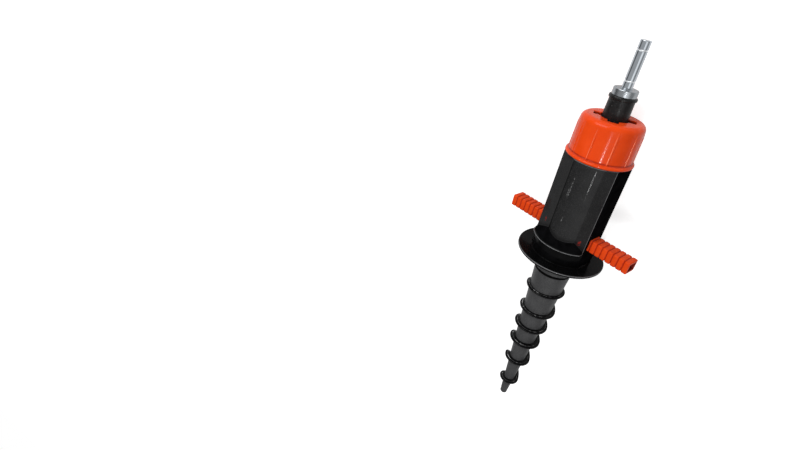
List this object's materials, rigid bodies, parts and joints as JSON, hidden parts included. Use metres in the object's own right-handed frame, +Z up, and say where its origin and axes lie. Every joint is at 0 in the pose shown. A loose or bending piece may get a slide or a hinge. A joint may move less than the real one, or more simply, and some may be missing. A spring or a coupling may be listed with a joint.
{
  "type": "ground screw",
  "caption": "Ground screw socket: a threaded spike with a flange and a faceted body, turned in by a cross bar, with a clamp nut that holds a sleeve with a steel pin.",
  "frame": {"origin": "under the middle of the lying screw's outline, on the floor that it rests on", "axes": "+X along the screw toward the pin, as seen from above, +Z up; the screw's own axis dips 6.6 degrees toward the pin"},
  "size_m": [0.5766, 0.1778, 0.116],
  "materials": {
    "black_plastic": "moulded, fine-grained panels with glossy edges",
    "orange_plastic": "glossy",
    "collet_plastic": "satin",
    "sleeve_plastic": "semi-gloss",
    "steel": "turned"
  },
  "bodies": {
    "socket": {"screw_body": "black_plastic", "handle_bar": "orange_plastic", "clamp_collet": "collet_plastic", "pin_sleeve": "sleeve_plastic", "steel_pin": "steel"},
    "cap": {"cap_nut": "orange_plastic"}
  },
  "joints": [
    {"name": "cap_turn", "type": "hinge", "parent": "socket", "child": "cap", "pos_m": [0.17791, 0, 0.03868], "axis": [0.9934, 0, -0.1148], "range_deg": [0, 480]}
  ]
}
